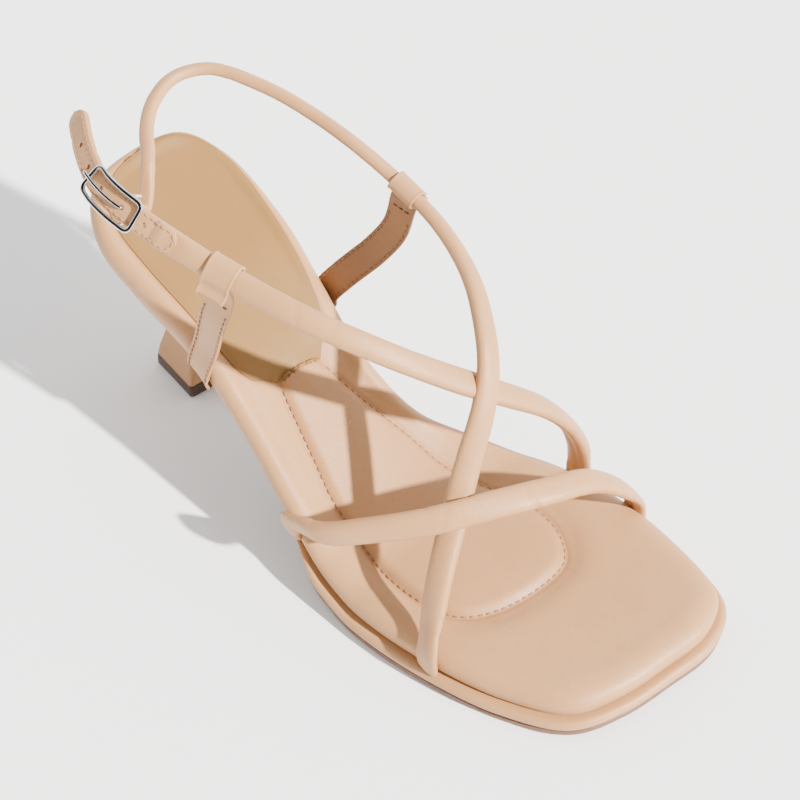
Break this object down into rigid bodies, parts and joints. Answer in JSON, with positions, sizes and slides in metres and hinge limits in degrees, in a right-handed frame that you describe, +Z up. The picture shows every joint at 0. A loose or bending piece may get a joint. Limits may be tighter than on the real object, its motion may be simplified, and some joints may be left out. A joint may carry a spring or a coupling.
{
  "type": "strappy heeled sandal",
  "caption": "Square-toed sandal with thin crossed padded straps, a buckled ankle strap, a padded footbed and a flared block heel.",
  "frame": {"origin": "on the floor, under the middle of the shoe's box", "axes": "+X toward the toe, +Y toward the inner (medial) side of the foot, +Z up"},
  "size_m": [0.2288, 0.0928, 0.1208],
  "materials": {
    "nude_leather": "smooth satin",
    "sock_leather": "matt",
    "sole_edge": "matt",
    "top_rubber": "matt",
    "polished_metal": "polished"
  },
  "bodies": {
    "root": {"outsole": "sole_edge", "insole_platform": "nude_leather", "footbed": "nude_leather", "heel_sock": "sock_leather", "heel_block": "nude_leather", "heel_top_piece": "top_rubber", "upper_straps": "nude_leather", "inner_loop": "nude_leather", "outer_loop": "nude_leather", "buckle_frame": "polished_metal", "buckle_prong": "polished_metal", "buckle_link": "polished_metal"}
  },
  "joints": []
}
